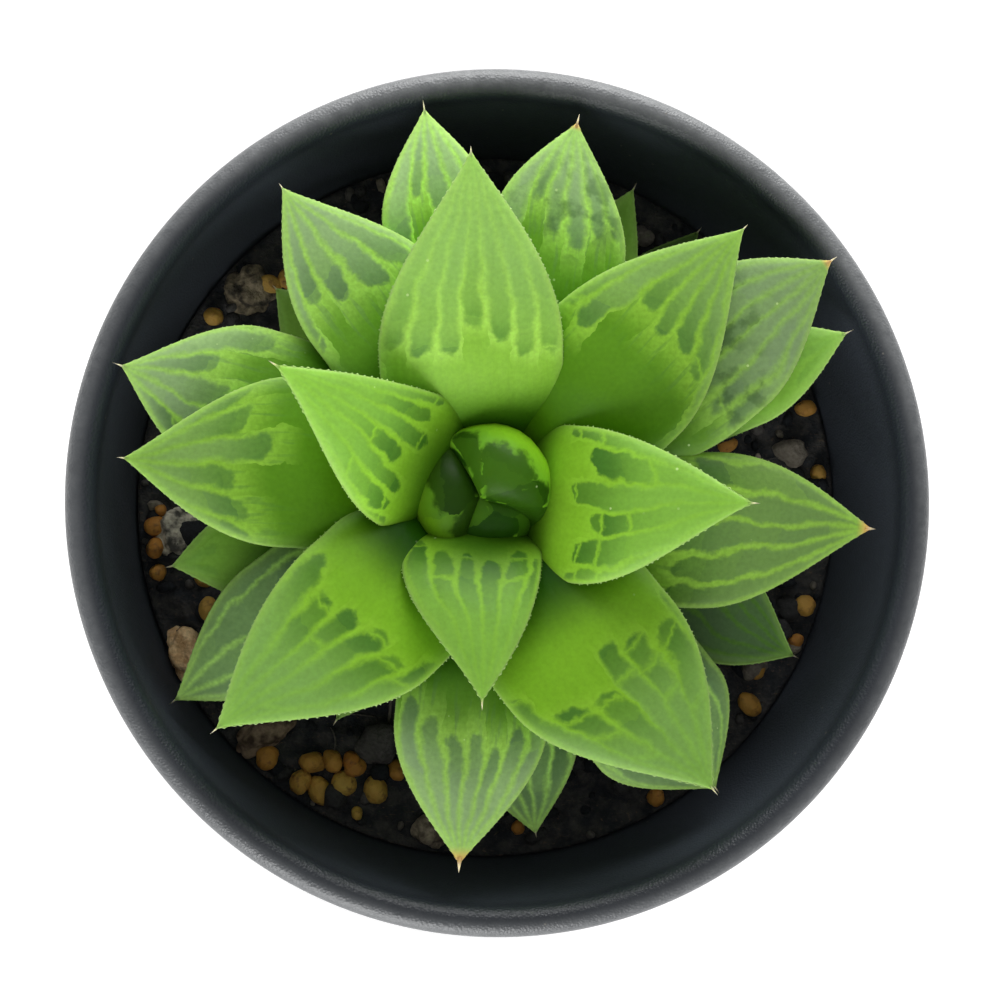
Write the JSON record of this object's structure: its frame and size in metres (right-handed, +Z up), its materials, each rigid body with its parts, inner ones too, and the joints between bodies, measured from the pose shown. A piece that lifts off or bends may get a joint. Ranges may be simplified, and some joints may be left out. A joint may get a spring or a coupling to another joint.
{
  "type": "potted haworthia",
  "caption": "Small rosette succulent with fleshy pointed leaves, growing in dark soil in a round tapered nursery pot.",
  "frame": {"origin": "middle of the pot's foot, on the surface it stands on", "axes": "+Z up, +Y towards the top of the picture, +X towards its right"},
  "size_m": [0.075, 0.075, 0.075],
  "materials": {
    "pot_plastic": "satin",
    "soil": "matte",
    "soil_lump": "matte",
    "bark": "matte",
    "stone_tan": "matte",
    "stone_grey": "matte",
    "stem": "matte",
    "leaf": "satin",
    "old_leaf": "satin",
    "bud_leaf": "satin"
  },
  "bodies": {
    "root": {"bud_leaf_1": "bud_leaf", "bud_leaf_2": "bud_leaf", "bud_leaf_3": "bud_leaf", "leaf_01": "leaf", "leaf_02": "leaf", "leaf_03": "leaf", "leaf_04": "leaf", "leaf_05": "leaf", "leaf_06": "leaf", "leaf_07": "leaf", "leaf_08": "leaf", "leaf_09": "leaf", "leaf_10": "leaf", "leaf_11": "leaf", "leaf_12": "old_leaf", "leaf_13": "old_leaf", "leaf_14": "old_leaf", "leaf_15": "old_leaf", "leaf_16": "old_leaf", "leaf_17": "old_leaf", "leaf_18": "old_leaf", "leaf_19": "old_leaf", "leaf_20": "old_leaf", "leaf_21": "old_leaf", "leaf_22": "old_leaf", "leaf_23": "old_leaf", "leaf_24": "old_leaf", "leaf_25": "old_leaf", "stem_and_roots": "stem", "stone_tan": "stone_tan", "stone_grey": "stone_grey", "lump_back": "soil_lump", "lump_left": "soil_lump", "bark_chip": "bark", "soil": "soil", "pot": "pot_plastic"}
  },
  "joints": []
}
